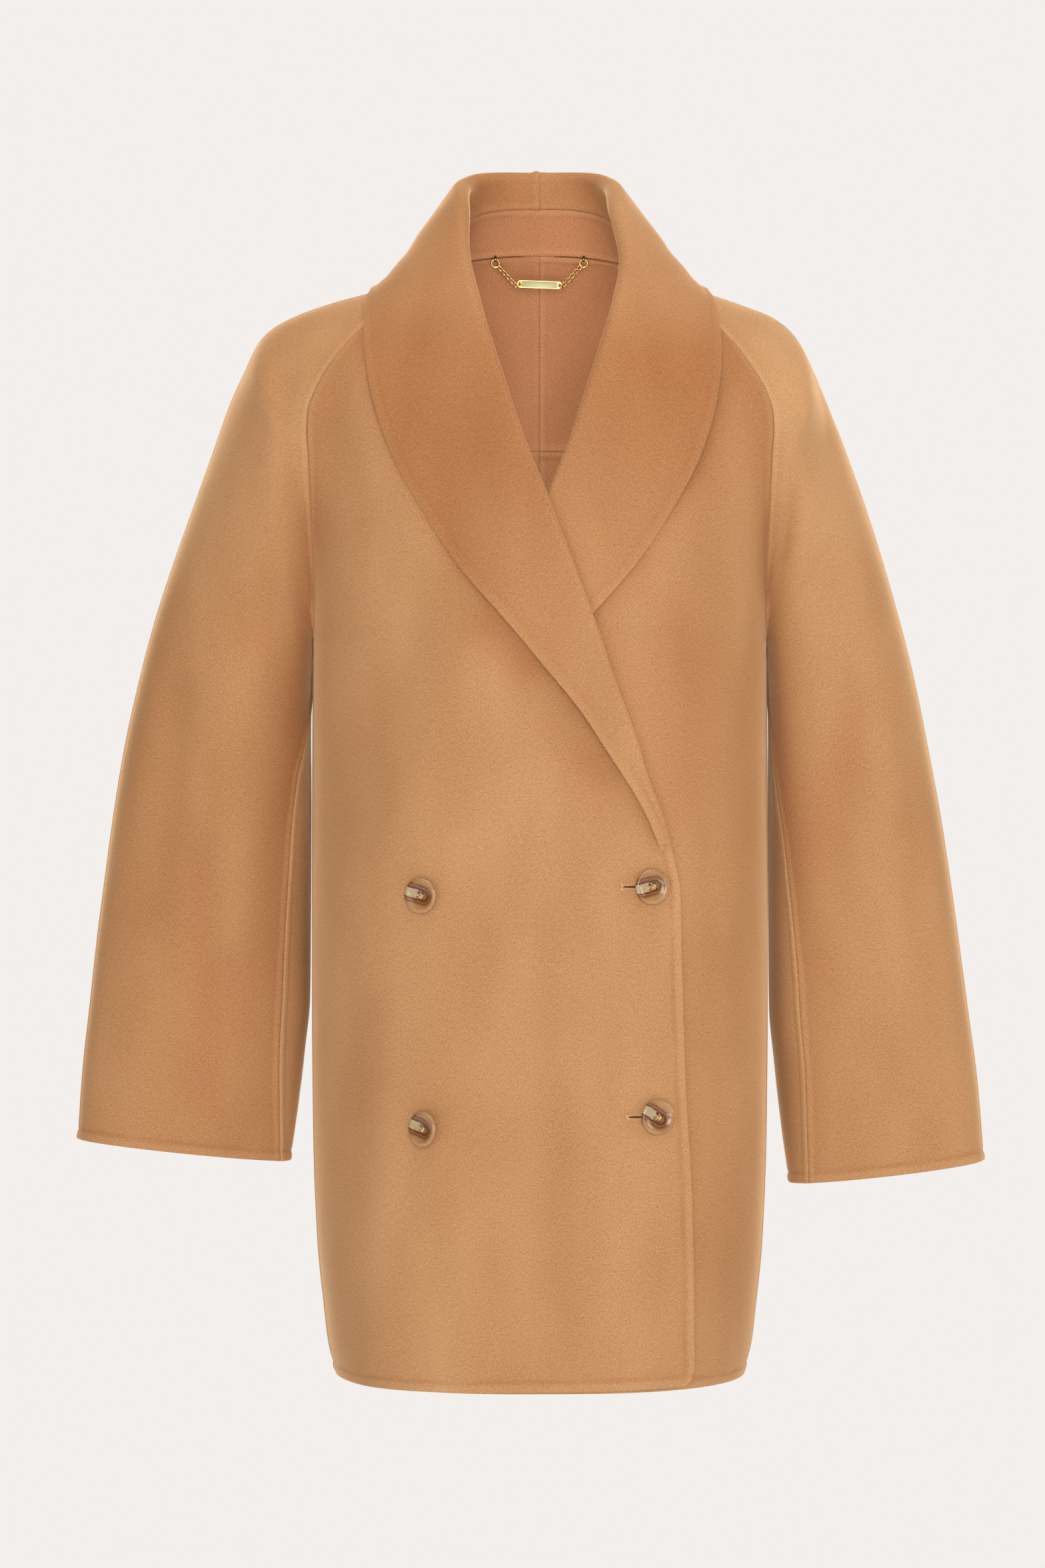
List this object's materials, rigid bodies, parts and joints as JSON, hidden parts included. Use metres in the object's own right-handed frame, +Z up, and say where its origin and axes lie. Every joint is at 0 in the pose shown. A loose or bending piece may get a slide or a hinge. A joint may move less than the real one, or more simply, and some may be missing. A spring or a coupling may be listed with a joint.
{
  "type": "wool coat",
  "caption": "Double-breasted camel wool coat with a shawl collar and raglan sleeves, filled out and hollow, with horn buttons and a brass hanger chain inside the back neck.",
  "frame": {"origin": "middle of the neck base, where the wearer's neck comes out of the coat", "axes": "+Z up, +X towards the wearer's left sleeve, -Y out of the front"},
  "size_m": [0.6833, 0.2744, 0.9071],
  "materials": {
    "wool": "brushed double-face wool, matt with a soft sheen",
    "horn": "polished, brown with pale streaks",
    "thread": "twisted thread",
    "brass": "polished"
  },
  "bodies": {
    "coat": {"front_right": "wool", "front_left": "wool", "back_upper_right": "wool", "back_upper_left": "wool", "back_lower_right": "wool", "back_lower_left": "wool", "sleeve_front_right": "wool", "sleeve_front_left": "wool", "sleeve_back_right": "wool", "sleeve_back_left": "wool", "collar_right": "wool", "collar_left": "wool", "neck_band": "wool", "button_1": "horn", "button_2": "horn", "button_3": "horn", "button_4": "horn", "tack_right": "thread", "tack_left": "thread"},
    "hanger": {"ring_right": "brass", "link_right_1": "brass", "link_right_2": "brass", "link_right_3": "brass", "link_right_4": "brass", "link_right_5": "brass", "ring_left": "brass", "link_left_1": "brass", "link_left_2": "brass", "link_left_3": "brass", "link_left_4": "brass", "link_left_5": "brass", "hanger_plate": "brass"}
  },
  "joints": [
    {"name": "hanger_swing", "type": "hinge", "parent": "coat", "child": "hanger", "pos_m": [0, 0.05945, 0.0126], "axis": [-1, 0, 0], "range_deg": [0, 110]}
  ]
}
